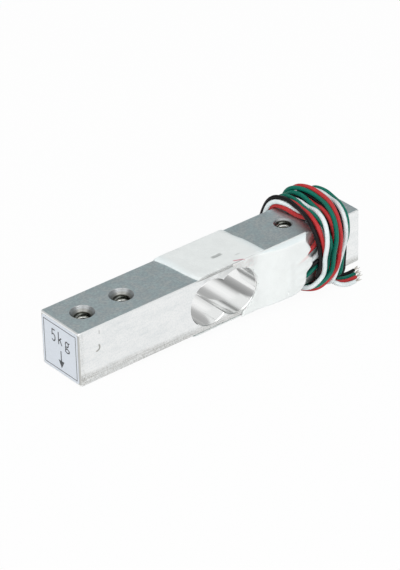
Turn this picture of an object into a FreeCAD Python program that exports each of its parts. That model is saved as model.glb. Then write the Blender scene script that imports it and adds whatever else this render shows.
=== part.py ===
# Single point load cell: an aluminium spring element with a binocular bore, foil strain gauges over its
# thin webs, white sealant, a terminal board on one side and four leads wound round the fixed end.
# Millimetres. +X runs from the loaded end to the fixed end, +Z is up, the origin is the bar's centre.
import FreeCAD
import Part
import math
import os

os.makedirs("parts", exist_ok=True)
V = FreeCAD.Vector

# Spring element
BAR_LENGTH = 75.0
BAR_WIDTH = 12.7
BAR_HEIGHT = 12.7
BAR_EDGE_RADIUS = 0.45      # tumbled end edges and lower edges
BAR_TOP_CHAMFER = 0.2       # deburred top edges
LOBE_RADIUS = 5.2           # the two bores that make the binocular
LOBE_OFFSET = 3.5           # each bore's axis from the middle
BORE_EDGE_BREAK = 0.15
THREAD_MINOR_RADIUS = 1.65  # tap drill of an M4 x 0.7 thread
HOLE_END_DISTANCE = 5.8
HOLE_PITCH = 10.0
LOAD_SINK_RADIUS = 2.65     # countersinks at the loaded end
LOAD_SINK_DEPTH = 1.1
FIXED_SINK_RADIUS = 2.1     # small lead-in at the fixed end
FIXED_SINK_DEPTH = 0.4

# Sticker on the loaded end
LABEL_MARGIN = 0.55
LABEL_THICKNESS = 0.1
LABEL_CORNER = 0.6

# Strain gauges, one over each thin web
FILM_LENGTH = 6.4
FILM_WIDTH = 4.4
FILM_THICKNESS = 0.08
FILM_CORNER = 0.5
FOIL_THICKNESS = 0.05
FOIL_LINE = 0.14            # width of a grid line
FOIL_PITCH = 0.3
FOIL_LINES = 10             # even, so that both ends come out at the tabs
GRID_LENGTH = 3.2
TAB_LENGTH = 1.3
TAB_WIDTH = 1.0
TAB_GAP = 0.3               # film between the grid's ends and the tabs

# Sealant
COAT_THICKNESS = 0.4
COAT_LOAD_REACH = 7.4       # the coat's ends from the middle, on its centre line
COAT_FIXED_REACH = 11.1
COAT_SLANT = 0.75           # how far each end slants between its middle and one edge
COAT_BOW = 0.15
PAD_THICKNESS = 1.45
PAD_FLAT_MARGIN = 0.25      # from the bar's long edges
PAD_BORE_MARGIN = 0.7
PAD_ROUNDING = 0.9          # crown's edge
PAD_CORNER = 1.0
PAD_BULGE_CORNER = 3.0
PAD_LEAD_COVER = 5.2        # from the board's end to the pad's end
PAD_LEAD_BULGE = 1.7        # how far the pad swells round the leads
PAD_BULGE_HEIGHT = 1.83     # the swelling's crest, above the bar's middle
PAD_TOE_LENGTH = 1.15       # cut off the lower corner, below the leads
PAD_TOE_HEIGHT = 1.83
TONGUE_THICKNESS = 0.4      # thin sealant between the bore and the top edge
TONGUE_BORE_MARGIN = 0.25
TONGUE_START = 0.5          # from the lobe's axis

# Terminal board on the side, with its solder joints and resistors
BOARD_BORE_DISTANCE = 3.0
BOARD_LENGTH = 5.5
BOARD_HEIGHT = 9.4
BOARD_THICKNESS = 0.25
SOLDER_RADIUS = 0.8
SOLDER_HEIGHT = 0.85
SOLDER_TOP_RADIUS = 0.3
SOLDER_SHOULDER_RADIUS = 0.64
SOLDER_SHOULDER_HEIGHT = 0.51
SOLDER_BACK = 0.5           # a joint's centre from the board's lead end
RESISTOR_LENGTH = 1.6
RESISTOR_WIDTH = 0.8
RESISTOR_HEIGHT = 0.4
RESISTOR_CAP = 0.3
RESISTOR_CAP_STEP = 0.04
RESISTOR_SPACING = 2.6
RESISTOR_START = 1.2        # from the board's bore end

# Jumpers from the gauges to the board
JUMPER_RADIUS = 0.1
JUMPER_STANDOFF = 0.03
JUMPER_EDGE_GAP = 0.27      # a jumper's axis from the bar's side
JUMPER_DROP = 0.65          # how far below the top face it turns towards the board
JUMPER_FALL = 0.4           # how far it runs along the bar on its way down
JUMPER_APPROACH = 0.9       # along and across the bar, from its last bend on the face to the edge
JUMPER_OVERSHOOT = 0.75
JUMPER_LANDING = 0.7        # where it lands, from the board's bore end
JUMPER_ROW_MARGIN = 0.4     # the row of landings, from the board's edge
JUMPER_ROW_PITCH = 0.6
FAR_TAB_ALONG = 0.25        # where the third jumper is soldered on its tab, from the tab's middle
FAR_TAB_ACROSS = 0.2

# Leads
LEAD_RADIUS = 0.5
LEAD_STANDOFF = 0.02        # air between a lead and the bar's side
LEAD_RUN = 9.7              # from the board to where the winding takes the leads
CONDUCTOR_RADIUS = 0.25
ARC_SHARE = 0.45            # of the shorter run at a bend, taken by its arc
TIP_LENGTH = 2.6

# Winding: the outer shape of four loose turns of all four leads
WINDING_CLEARANCE = 0.3     # between the turns and the bar's edges
WINDING_PASSAGE = 0.2       # room over the leads where they go under the turns
WINDING_ABOVE = 2.95        # how far the turns stand off each side of the bar
WINDING_BELOW = 2.55
WINDING_FRONT = 3.55
WINDING_BACK = 2.85
WINDING_CORNER = 4.0
WINDING_PAD_GAP = 0.5
WINDING_BOTTOM_LENGTH = 7.6
WINDING_TOP_LENGTH = 10.9
WINDING_LEAN = 1.1          # the turns' sides at the top and bottom from those at mid height
PASSAGE_LOW = -4.8          # heights between which the leads go in under the turns
PASSAGE_HIGH = 4.8

# Worked out from the sizes above
half_length = BAR_LENGTH / 2
half_width = BAR_WIDTH / 2
half_height = BAR_HEIGHT / 2
bore_end = LOBE_OFFSET + LOBE_RADIUS
hole_outer_x = half_length - HOLE_END_DISTANCE
hole_inner_x = hole_outer_x - HOLE_PITCH
board_start = bore_end + BOARD_BORE_DISTANCE
board_end = board_start + BOARD_LENGTH
pad_start = bore_end + PAD_BORE_MARGIN
pad_end = board_end + PAD_LEAD_COVER
lead_y = -half_width - LEAD_RADIUS - LEAD_STANDOFF
lead_end = board_end + LEAD_RUN
board_face = -half_width - BOARD_THICKNESS
film_top = half_height + FILM_THICKNESS
foil_top = film_top + FOIL_THICKNESS
end_loop = 2 * FOIL_LINE
gauge_length = GRID_LENGTH + 2 * end_loop + TAB_GAP + TAB_LENGTH
tab_x = gauge_length / 2 - TAB_LENGTH / 2
tab_y = FOIL_PITCH * (FOIL_LINES - 1) / 2 + FOIL_LINE / 2 - TAB_WIDTH / 2


def box(x0, x1, y0, y1, z0, z1):
    """A box between two opposite corners."""
    return Part.makeBox(x1 - x0, y1 - y0, z1 - z0, V(x0, y0, z0))


def edges_where(shape, test):
    """The straight or curved edges whose middle passes a test."""
    found = []
    for edge in shape.Edges:
        middle = edge.valueAt((edge.FirstParameter + edge.LastParameter) / 2)
        if test(edge, middle):
            found.append(edge)
    return found


def rounded_wire(points, radii, closed):
    """Straight runs through the points, joined at each corner by a tangent arc of its own radius."""
    count = len(points)
    corners = range(count) if closed else range(1, count - 1)
    cuts = {}
    for i in corners:
        here = points[i]
        before = (points[i - 1] - here).normalize()
        after = (points[(i + 1) % count] - here).normalize()
        half_turn = (math.pi - before.getAngle(after)) / 2
        back = radii[i] * math.tan(half_turn)
        toward_centre = (before + after).normalize()
        reach = radii[i] / math.cos(half_turn) - radii[i]
        cuts[i] = (here + before * back, here + toward_centre * reach, here + after * back)
    edges = []
    last = count if closed else count - 1
    for i in range(last):
        j = (i + 1) % count
        start = cuts[i][2] if i in cuts else points[i]
        end = cuts[j][0] if j in cuts else points[j]
        if start.distanceToPoint(end) > 1e-6:
            edges.append(Part.LineSegment(start, end).toShape())
        if j in cuts:
            edges.append(Part.Arc(*cuts[j]).toShape())
    return Part.Wire(edges)


def tube(points, radius):
    """A round tube along a route, with arcs as large as its runs allow. Returns it and its smallest arc."""
    runs = [points[i].distanceToPoint(points[i + 1]) for i in range(len(points) - 1)]
    radii = [0.0] * len(points)
    for i in range(1, len(points) - 1):
        turn = math.pi - (points[i - 1] - points[i]).getAngle(points[i + 1] - points[i])
        radii[i] = ARC_SHARE * min(runs[i - 1], runs[i]) / math.tan(turn / 2)
    path = rounded_wire(points, radii, False)
    section = Part.Wire([Part.makeCircle(radius, points[0], points[1] - points[0])])
    solid = path.makePipeShell([section], True, True)
    expected = math.pi * radius ** 2 * path.Length
    print(f"    length {path.Length:.1f}, arcs {min(radii[1:-1]):.1f} to {max(radii[1:-1]):.1f},"
          f" volume {solid.Volume:.2f} of {expected:.2f}")
    return solid


def cylinder_y(radius, x, z, y0, y1):
    """A cylinder along Y."""
    return Part.makeCylinder(radius, y1 - y0, V(x, y0, z), V(0, 1, 0))


def binocular_bore():
    """Two overlapping bores across the bar, with their sharp edges broken at both mouths."""
    lobes = []
    for side in (-1, 1):
        x = side * LOBE_OFFSET
        lobes.append(cylinder_y(LOBE_RADIUS, x, 0, -half_width - 1, half_width + 1))
        for face in (-1, 1):
            mouth = V(x, face * half_width, 0)
            inward = V(0, -face, 0)
            lobes.append(Part.makeCone(LOBE_RADIUS + BORE_EDGE_BREAK, LOBE_RADIUS,
                                       BORE_EDGE_BREAK, mouth, inward))
    return lobes[0].multiFuse(lobes[1:])


def tapped_hole(x, sink_radius, sink_depth):
    """A through hole at tap size, countersunk from above and below."""
    tools = [Part.makeCylinder(THREAD_MINOR_RADIUS, BAR_HEIGHT + 2, V(x, 0, -half_height - 1))]
    for face in (-1, 1):
        mouth = V(x, 0, face * half_height)
        tools.append(Part.makeCone(sink_radius, THREAD_MINOR_RADIUS, sink_depth, mouth, V(0, 0, -face)))
    return tools[0].multiFuse(tools[1:])


def spring_element():
    bar = box(-half_length, half_length, -half_width, half_width, -half_height, half_height)
    upright = edges_where(bar, lambda e, m: abs(m.z) < 0.1 * BAR_HEIGHT)
    bar = bar.makeFillet(BAR_EDGE_RADIUS, upright)
    bottom = edges_where(bar, lambda e, m: m.z < -half_height + 1e-3)
    bar = bar.makeFillet(BAR_EDGE_RADIUS, bottom)
    top = edges_where(bar, lambda e, m: m.z > half_height - 1e-3)
    bar = bar.makeChamfer(BAR_TOP_CHAMFER, top)
    tools = [binocular_bore()]
    for x in (hole_inner_x, hole_outer_x):
        tools.append(tapped_hole(-x, LOAD_SINK_RADIUS, LOAD_SINK_DEPTH))
        tools.append(tapped_hole(x, FIXED_SINK_RADIUS, FIXED_SINK_DEPTH))
    return bar.cut(tools)


def rounded_plate(x0, x1, y0, y1, z, thickness, corner):
    """A flat plate with rounded corners, lying at height z."""
    corners = [V(x0, y0, z), V(x1, y0, z), V(x1, y1, z), V(x0, y1, z)]
    outline = rounded_wire(corners, [corner] * 4, True)
    return Part.Face(outline).extrude(V(0, 0, thickness))


def end_label():
    width = BAR_WIDTH / 2 - LABEL_MARGIN
    height = BAR_HEIGHT / 2 - LABEL_MARGIN
    x = -half_length
    corners = [V(x, -width, -height), V(x, width, -height), V(x, width, height), V(x, -width, height)]
    outline = rounded_wire(corners, [LABEL_CORNER] * 4, True)
    return Part.Face(outline).extrude(V(-LABEL_THICKNESS, 0, 0))


def gauge_film(x):
    return rounded_plate(x - FILM_LENGTH / 2, x + FILM_LENGTH / 2, -FILM_WIDTH / 2, FILM_WIDTH / 2,
                         half_height, FILM_THICKNESS, FILM_CORNER)


def gauge_grid(x):
    """A foil serpentine along the bar: parallel lines, wide end loops and two solder tabs at one end."""
    ys = [FOIL_PITCH * (i - (FOIL_LINES - 1) / 2) for i in range(FOIL_LINES)]
    start = x - gauge_length / 2 + end_loop
    end = start + GRID_LENGTH
    tab_start = end + end_loop + TAB_GAP
    pieces = []
    for i, y in enumerate(ys):
        outermost = i in (0, FOIL_LINES - 1)
        line_end = tab_start + FOIL_LINE if outermost else end
        low, high = y - FOIL_LINE / 2, y + FOIL_LINE / 2
        pieces.append(box(start, line_end, low, high, film_top, foil_top))
        if i < FOIL_LINES - 1:
            at = end if i % 2 else start - end_loop
            pieces.append(box(at, at + end_loop, low, high + FOIL_PITCH, film_top, foil_top))
    for side in (-1, 1):
        edge = side * (ys[-1] + FOIL_LINE / 2)
        inner = edge - side * TAB_WIDTH
        pieces.append(box(tab_start, tab_start + TAB_LENGTH, min(edge, inner), max(edge, inner),
                          film_top, foil_top))
    return pieces[0].multiFuse(pieces[1:]).removeSplitter()


def coat():
    """The film of sealant over the top gauges, with bowed, slightly slanting ends."""
    edge = half_width - BAR_TOP_CHAMFER
    near_load = V(-COAT_LOAD_REACH + COAT_SLANT, -edge, half_height)
    far_load = V(-COAT_LOAD_REACH - COAT_SLANT, edge, half_height)
    near_fixed = V(COAT_FIXED_REACH + COAT_SLANT, -edge, half_height)
    far_fixed = V(COAT_FIXED_REACH - COAT_SLANT, edge, half_height)
    outline = Part.Wire([
        Part.LineSegment(near_load, near_fixed).toShape(),
        Part.Arc(near_fixed, V(COAT_FIXED_REACH + COAT_BOW, 0, half_height), far_fixed).toShape(),
        Part.LineSegment(far_fixed, far_load).toShape(),
        Part.Arc(far_load, V(-COAT_LOAD_REACH - COAT_BOW, 0, half_height), near_load).toShape(),
    ])
    return Part.Face(outline).extrude(V(0, 0, COAT_THICKNESS))


def pad():
    """The thick sealant on the side: a crowned pad that swells round the leads, with a thin tongue
    between the bore and the top edge."""
    y = -half_width
    top = half_height - PAD_FLAT_MARGIN
    corners = [V(pad_start, y, -top), V(pad_end - PAD_TOE_LENGTH, y, -top),
               V(pad_end, y, PAD_TOE_HEIGHT - top), V(pad_end + PAD_LEAD_BULGE, y, PAD_BULGE_HEIGHT),
               V(pad_end, y, top), V(pad_start, y, top)]
    radii = [PAD_CORNER, PAD_CORNER, PAD_CORNER, PAD_BULGE_CORNER, PAD_CORNER, PAD_CORNER]
    body = Part.Face(rounded_wire(corners, radii, True)).extrude(V(0, -PAD_THICKNESS, 0))
    crown = edges_where(body, lambda e, m: m.y < y - PAD_THICKNESS + 1e-3)
    body = body.makeFillet(PAD_ROUNDING, crown)
    tongue = box(LOBE_OFFSET + TONGUE_START, pad_start + 2 * PAD_CORNER, y - TONGUE_THICKNESS, y, 0, top)
    clear = cylinder_y(LOBE_RADIUS + TONGUE_BORE_MARGIN, LOBE_OFFSET, 0, y - 1, y + 1)
    return body.fuse(tongue.cut(clear)).removeSplitter()


def terminal_board():
    return box(board_start, board_end, -half_width - BOARD_THICKNESS, -half_width,
               -BOARD_HEIGHT / 2, BOARD_HEIGHT / 2)


def solder_joint(z):
    """A cone of solder at the board's lead end, cut off flat where the lead meets it."""
    x = board_end - SOLDER_BACK
    foot = V(x + SOLDER_RADIUS, board_face, z)
    shoulder = V(x + SOLDER_SHOULDER_RADIUS, board_face - SOLDER_SHOULDER_HEIGHT, z)
    rim = V(x + SOLDER_TOP_RADIUS, board_face - SOLDER_HEIGHT, z)
    apex = V(x, board_face - SOLDER_HEIGHT, z)
    base = V(x, board_face, z)
    profile = Part.Wire([
        Part.Arc(foot, shoulder, rim).toShape(),
        Part.LineSegment(rim, apex).toShape(),
        Part.LineSegment(apex, base).toShape(),
        Part.LineSegment(base, foot).toShape(),
    ])
    dome = Part.Face(profile).revolve(base, V(0, 1, 0), 360)
    beyond = box(board_end, board_end + 1, board_face - 2 * SOLDER_HEIGHT, board_face,
                 z - 2 * SOLDER_RADIUS, z + 2 * SOLDER_RADIUS)
    return dome.cut(beyond)


def trim_resistor(z):
    """A chip resistor across the board: a ceramic body with a metal cap round each end."""
    x = board_start + RESISTOR_START
    body = box(x, x + RESISTOR_LENGTH, board_face - RESISTOR_HEIGHT, board_face - RESISTOR_CAP_STEP,
               z - RESISTOR_WIDTH / 2, z + RESISTOR_WIDTH / 2)
    half = RESISTOR_WIDTH / 2 + RESISTOR_CAP_STEP
    caps = []
    for at in (x - RESISTOR_CAP_STEP, x + RESISTOR_LENGTH - RESISTOR_CAP + RESISTOR_CAP_STEP):
        caps.append(box(at, at + RESISTOR_CAP, board_face - RESISTOR_HEIGHT - RESISTOR_CAP_STEP,
                        board_face, z - half, z + half))
    return body.multiFuse(caps).removeSplitter()


def jumper(tab, bend, cross_x, side, place):
    """An enamelled wire from a gauge's tab over the bar's near edge to the board. side is 1 for the top,
    and place its place in the row of landings, counted from the board's edge."""
    z = side * (foil_top + JUMPER_STANDOFF + JUMPER_RADIUS)
    out_y = -half_width - JUMPER_EDGE_GAP
    board_y = board_face - JUMPER_STANDOFF - JUMPER_RADIUS
    landing = BOARD_HEIGHT / 2 - JUMPER_ROW_MARGIN - place * JUMPER_ROW_PITCH
    points = [
        V(tab[0], tab[1], z),
        V(tab[0] + bend[0], tab[1] + bend[1], z),
        V(cross_x - JUMPER_APPROACH, out_y + JUMPER_OVERSHOOT, z),
        V(cross_x, out_y, z),
        V(cross_x + JUMPER_FALL, out_y, side * (half_height - JUMPER_DROP)),
        V(board_start + JUMPER_LANDING, board_y, side * landing),
    ]
    return tube(points, JUMPER_RADIUS)


def link(side):
    """The wire that joins the far tabs of the two gauges on one face."""
    z = side * (foil_top + JUMPER_STANDOFF + JUMPER_RADIUS)
    points = [V(tab_x - LOBE_OFFSET + x, tab_y + y, z) for x, y in LINK_START]
    points += [V(tab_x + LOBE_OFFSET + x, tab_y + y, z) for x, y in LINK_END]
    return tube(points, JUMPER_RADIUS)


def jumpers():
    """Three wires from each face's gauges to the board, and a link between the two gauges."""
    made = {}
    near_tabs = {
        "load": (tab_x - LOBE_OFFSET, -tab_y),
        "mid": (tab_x + LOBE_OFFSET, -tab_y),
        "fixed": (tab_x + LOBE_OFFSET + FAR_TAB_ALONG, tab_y - FAR_TAB_ACROSS),
    }
    for face, side in (("top", 1), ("bottom", -1)):
        for end, place in (("load", 2), ("mid", 1), ("fixed", 0)):
            bend, from_bore = JUMPER_ROUTES[face, end]
            made[f"jumper_{face}_{end}"] = jumper(near_tabs[end], bend, bore_end + from_bore, side, place)
        made[f"link_{face}"] = link(side)
    return made


def lead(points_xz):
    """A lead along the bar's side, cut off flat at its solder joint and where the winding takes it."""
    points = [V(board_end + x, lead_y, z) for x, z in points_xz]
    keep = box(board_end, lead_end, lead_y - half_width, lead_y + half_width, -half_height, half_height)
    return tube(points, LEAD_RADIUS).common(keep)


def winding():
    """The outer shape of the turns: a leaning ring round the bar, open under it where the leads come in."""
    front, back = -half_width - WINDING_FRONT, half_width + WINDING_BACK
    low, high = -half_height - WINDING_BELOW, half_height + WINDING_ABOVE
    x = -BAR_LENGTH
    outer = [V(x, front, low), V(x, back, low), V(x, back, high), V(x, front, high)]
    ring = Part.Face(rounded_wire(outer, [WINDING_CORNER] * 4, True)).extrude(V(2 * BAR_LENGTH, 0, 0))
    gap = WINDING_CLEARANCE
    ring = ring.cut(box(x, -x, -half_width - gap, half_width + gap, -half_height - gap, half_height + gap))
    start = pad_end + PAD_LEAD_BULGE + WINDING_PAD_GAP
    left_low, left_high = start - WINDING_LEAN, start + WINDING_LEAN
    slab = Part.makePolygon([V(left_low, front, low), V(left_low + WINDING_BOTTOM_LENGTH, front, low),
                             V(left_high + WINDING_TOP_LENGTH, front, high), V(left_high, front, high),
                             V(left_low, front, low)])
    ring = ring.common(Part.Face(slab).extrude(V(0, back - front, 0)))
    passage = 2 * LEAD_RADIUS + LEAD_STANDOFF + WINDING_PASSAGE
    return ring.cut(box(x, lead_end, -half_width - passage, 0, PASSAGE_LOW, PASSAGE_HIGH))


def free_end(points):
    """A lead's loose end, and the tinned conductor that stands out of it."""
    along = (points[-1] - points[-2]).normalize()
    tip = Part.makeCylinder(CONDUCTOR_RADIUS, TIP_LENGTH, points[-1], along)
    return tube(points, LEAD_RADIUS), tip


def mirrored(shape):
    """The same piece on the bar's lower face."""
    return shape.mirror(V(0, 0, 0), V(0, 0, 1))


def moulded_over(sealant, pieces):
    """Sealant with the exact room of each piece that it covers."""
    for piece in pieces:
        if sealant.BoundBox.intersect(piece.BoundBox):
            sealant = sealant.cut(piece)
    return sealant


# Each jumper's bend on its face, from its tab, and where it crosses the bar's edge, from the bore's end
JUMPER_ROUTES = {
    ("top", "load"): ((2.1, -2.7), -3.7),
    ("top", "mid"): ((0.8, -2.7), -0.3),
    ("top", "fixed"): ((2.45, -2.15), 1.3),
    ("bottom", "load"): ((5.4, -3.9), 0.0),
    ("bottom", "mid"): ((2.0, -2.7), 0.9),
    ("bottom", "fixed"): ((3.15, -2.15), 1.9),
}

# The link's route, from the tab it starts at and then from the tab it ends at
LINK_START = [(0.0, 0.0), (1.8, 1.1)]
LINK_END = [(-2.4, 1.3), (-0.3, 0.3)]

# Each lead's route along the side, from the board's end: distance along the bar, then height
LEAD_ROUTES = {
    "red": [(-0.2, 1.7), (3.1, 1.2), (6.7, 1.7), (10.2, 3.8)],
    "white": [(-0.2, -0.2), (3.1, -1.0), (6.7, -0.5), (10.2, 1.5)],
    "black": [(-0.2, -2.0), (3.1, -2.7), (6.7, -2.2), (10.2, -0.2)],
    "green": [(-0.2, -3.7), (3.1, -4.3), (6.6, -3.7), (10.1, -1.7)],
}

# Each loose end's route from under the turns, in front of the bar
FREE_ROUTES = {
    "black": [(30.4, -4.6, -8.2), (32.7, -5.5, -8.6), (35.0, -5.7, -8.9), (37.0, -5.2, -8.98)],
    "green": [(30.0, -5.7, -8.2), (32.0, -6.6, -8.6), (34.2, -6.85, -8.85), (36.1, -6.5, -8.95)],
    "red": [(29.6, -6.9, -8.0), (31.3, -7.7, -8.6), (33.4, -8.0, -8.8), (35.4, -7.7, -8.9)],
    "white": [(28.8, -7.9, -7.4), (30.2, -8.8, -8.3), (32.1, -9.3, -8.7), (34.0, -9.0, -8.85)],
}

nodes = {"spring_element": spring_element(), "end_label": end_label()}

gauge_parts = []
for end, x in (("load", -LOBE_OFFSET), ("fixed", LOBE_OFFSET)):
    for name, shape in (("gauge_film", gauge_film(x)), ("gauge_grid", gauge_grid(x))):
        nodes[f"{name}_top_{end}"] = shape
        nodes[f"{name}_bottom_{end}"] = mirrored(shape)
        gauge_parts += [shape, mirrored(shape)]

print("Jumpers")
wires = jumpers()
nodes.update(wires)

nodes["terminal_board"] = terminal_board()
nodes["trim_resistor_zero"] = trim_resistor(RESISTOR_SPACING / 2)
nodes["trim_resistor_span"] = trim_resistor(-RESISTOR_SPACING / 2)

print("Leads")
leads = {}
solder = {}
for colour, route in LEAD_ROUTES.items():
    leads[colour] = lead(route)
    solder[colour] = solder_joint(route[0][1])
    nodes[f"lead_{colour}"] = leads[colour]
    nodes[f"solder_{colour}"] = solder[colour]

under_film = gauge_parts + list(wires.values())
nodes["sealant_top"] = moulded_over(coat(), under_film)
nodes["sealant_bottom"] = moulded_over(mirrored(coat()), under_film)
on_board = [nodes["terminal_board"], nodes["trim_resistor_zero"], nodes["trim_resistor_span"]]
under_pad = on_board + list(solder.values()) + list(leads.values()) + list(wires.values())
nodes["sealant_side"] = moulded_over(pad(), under_pad)

nodes["wire_winding"] = winding()
print("Loose ends")
for colour, route in FREE_ROUTES.items():
    end_tube, tip = free_end([V(*point) for point in route])
    nodes[f"free_end_{colour}"] = end_tube.cut(nodes["wire_winding"])
    nodes[f"tip_{colour}"] = tip

for name, shape in nodes.items():
    solids = shape.Solids
    whole = solids[0] if len(solids) == 1 else Part.makeCompound(solids)
    whole.exportStep(f"parts/{name}.step")
    box_of = whole.BoundBox
    print(f"{name:22s} {len(solids)} solid, {whole.Volume:9.3f} mm3, x {box_of.XMin:.2f} to {box_of.XMax:.2f},"
          f" y {box_of.YMin:.2f} to {box_of.YMax:.2f}, z {box_of.ZMin:.2f} to {box_of.ZMax:.2f}")
print(len(nodes), "nodes")
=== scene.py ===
import bpy
import math
import numpy as np
from mathutils import Matrix, Vector, noise


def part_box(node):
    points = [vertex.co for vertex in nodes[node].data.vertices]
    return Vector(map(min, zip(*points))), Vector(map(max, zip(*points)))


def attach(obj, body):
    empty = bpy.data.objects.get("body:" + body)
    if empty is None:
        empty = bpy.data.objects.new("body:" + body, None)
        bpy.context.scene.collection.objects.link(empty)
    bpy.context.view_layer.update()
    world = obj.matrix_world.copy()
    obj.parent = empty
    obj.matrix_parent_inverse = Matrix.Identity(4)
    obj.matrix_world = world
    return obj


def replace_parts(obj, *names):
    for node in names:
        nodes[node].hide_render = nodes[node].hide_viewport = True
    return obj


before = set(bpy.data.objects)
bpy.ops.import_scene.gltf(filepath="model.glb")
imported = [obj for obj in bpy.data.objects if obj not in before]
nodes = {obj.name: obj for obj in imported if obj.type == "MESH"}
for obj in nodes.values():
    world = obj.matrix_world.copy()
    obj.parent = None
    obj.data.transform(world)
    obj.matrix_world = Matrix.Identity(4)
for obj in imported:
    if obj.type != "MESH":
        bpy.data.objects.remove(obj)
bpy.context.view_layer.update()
scene = bpy.context.scene
mm = 0.001
halfLength, halfWidth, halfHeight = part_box("spring_element")[1] / mm      # the bar lies about the frame's middle
print("frame loaded,", len(nodes), "nodes")


# A shader socket that takes part in sums and products
class Flow:
    def __init__(self, finish, socket):
        self.finish, self.socket = finish, socket

    def maths(self, operation, a, b=0.0):
        return self.finish.maths(operation, a, b)

    def __add__(self, other): return self.maths("ADD", self, other)
    def __radd__(self, other): return self.maths("ADD", other, self)
    def __sub__(self, other): return self.maths("SUBTRACT", self, other)
    def __rsub__(self, other): return self.maths("SUBTRACT", other, self)
    def __mul__(self, other): return self.maths("MULTIPLY", self, other)
    def __rmul__(self, other): return self.maths("MULTIPLY", other, self)
    def __truediv__(self, other): return self.maths("DIVIDE", self, other)
    def __rtruediv__(self, other): return self.maths("DIVIDE", other, self)
    def __pow__(self, other): return self.maths("POWER", self, other)
    def __rpow__(self, other): return self.maths("POWER", other, self)
    def __abs__(self): return self.maths("ABSOLUTE", self)

    # Eases from start to end as the value goes from low to high
    def between(self, low, high, start=0.0, end=1.0):
        return self.finish.add("MapRange", {"interpolation_type": "SMOOTHSTEP"},
                               {0: self, 1: low, 2: high, 3: start, 4: end})

    def fades(self, low, high): return self.between(low, high, 1.0, 0.0)
    def atMost(self, other): return self.maths("MINIMUM", self, other)
    def atLeast(self, other): return self.maths("MAXIMUM", self, other)
    def root(self): return self.maths("SQRT", self)


class Finish:
    def __init__(self, name, tree=None):
        if tree is None:
            self.material = bpy.data.materials.new(name)
            self.material.use_nodes = True
            tree = self.material.node_tree
        self.tree = tree
        tree.nodes.clear()

    def add(self, kind, settings=None, sockets=None, output=0):
        made = self.tree.nodes.new("ShaderNode" + kind)
        for key, value in (settings or {}).items():
            if key == "stops":
                ramp = made.color_ramp.elements
                while len(ramp) < len(value):
                    ramp.new(0.5)
                for stop, (at, tone) in zip(ramp, value):
                    stop.position, stop.color = at, tone
            else:
                setattr(made, key, value)
        for key, value in (sockets or {}).items():
            if isinstance(value, Flow):
                self.tree.links.new(value.socket, made.inputs[key])
            else:
                made.inputs[key].default_value = value
        return Flow(self, made.outputs[output] if made.outputs else None)

    def maths(self, operation, a, b=0.0):
        return self.add("Math", {"operation": operation}, {0: a, 1: b})

    def place(self):                       # the point in the frame, in millimetres, and its three parts
        point = self.add("VectorMath", {"operation": "SCALE"},
                         {0: self.add("TexCoord", output="Object"), "Scale": 1 / mm})
        return point, *(self.add("SeparateXYZ", sockets={0: point}, output=i) for i in range(3))

    def facing(self):                      # the surface's own direction
        normal = self.add("NewGeometry", output="Normal")
        return [self.add("SeparateXYZ", sockets={0: normal}, output=i) for i in range(3)]

    def stretched(self, point, scales):
        return self.add("VectorMath", {"operation": "MULTIPLY"}, {0: point, 1: scales})

    def cloud(self, point, scale, detail=3.0, rough=0.5, twist=0.0):
        return self.add("TexNoise", sockets={"Vector": point, "Scale": scale, "Detail": detail,
                                             "Roughness": rough, "Distortion": twist})

    def blend(self, amount, a, b, how="MIX"):
        return self.add("Mix", {"data_type": "RGBA", "blend_type": how}, {0: amount, 6: a, 7: b}, output=2)

    def relief(self, height, distance, strength):       # distance in millimetres
        return self.add("Bump", sockets={"Height": height, "Distance": distance * mm, "Strength": strength})

    def shade(self, **inputs):
        wanted = {key.replace("_", " "): value for key, value in inputs.items()}
        skin = self.add("BsdfPrincipled", sockets=wanted)
        self.add("OutputMaterial", sockets={"Surface": skin})
        return self.material


def grey(level):
    return (level, level, level, 1.0)


def colour(red, green, blue):
    return (red, green, blue, 1.0)


def shaded(tint, share):                   # the same colour, darker or paler
    return tuple(c * share for c in tint[:3]) + (1.0,)


def dress(node, material):
    slots = nodes[node].data.materials
    slots.clear()
    slots.append(material)


def smoothstep(low, high, value):
    t = np.clip((value - low) / (high - low), 0, 1)
    return t * t * (3 - 2 * t)


def makeMesh(name, points, faces, material, slot, smooth=True):
    mesh = bpy.data.meshes.new(name)
    mesh.from_pydata([tuple(p) for p in np.asarray(points, float) * mm], [], faces)
    mesh.materials.append(material)
    for polygon in mesh.polygons:
        polygon.use_smooth = smooth
    mesh.update()
    piece = bpy.data.objects.new(name, mesh)
    scene.collection.objects.link(piece)
    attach(piece, "root")
    return piece


# Camera: stands in front of the loaded end's left, looking down at the board's side
camera = {"azimuth": -38.75, "elevation": 31.27, "roll": -1.5, "distance": 635.4, "aim": (0.9, 0.1),
          "lens": 193.25, "sensor": 36.0}


def makeCamera(c):
    az, el, roll = (math.radians(c[key]) for key in ("azimuth", "elevation", "roll"))
    back = Vector((math.sin(az) * math.cos(el), -math.cos(az) * math.cos(el), math.sin(el)))
    right = Vector((math.cos(az), math.sin(az), 0.0))
    up = back.cross(right)
    side = math.cos(roll) * right + math.sin(roll) * up
    top = math.cos(roll) * up - math.sin(roll) * right
    eye = back * c["distance"] - side * c["aim"][0] - top * c["aim"][1]
    data = bpy.data.cameras.new("camera")
    data.lens, data.sensor_width, data.clip_end = c["lens"], c["sensor"], 20.0
    made = bpy.data.objects.new("camera", data)
    made.matrix_world = Matrix.Translation(eye * mm) @ Matrix((side, top, back)).transposed().to_4x4()
    scene.collection.objects.link(made)
    scene.camera = made


makeCamera(camera)
print("camera made")


floorSlope = 0.042                         # the turns prop up the bar's fixed end


def floorHeight(x):
    return -halfHeight - floorSlope * (x + halfLength)


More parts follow.
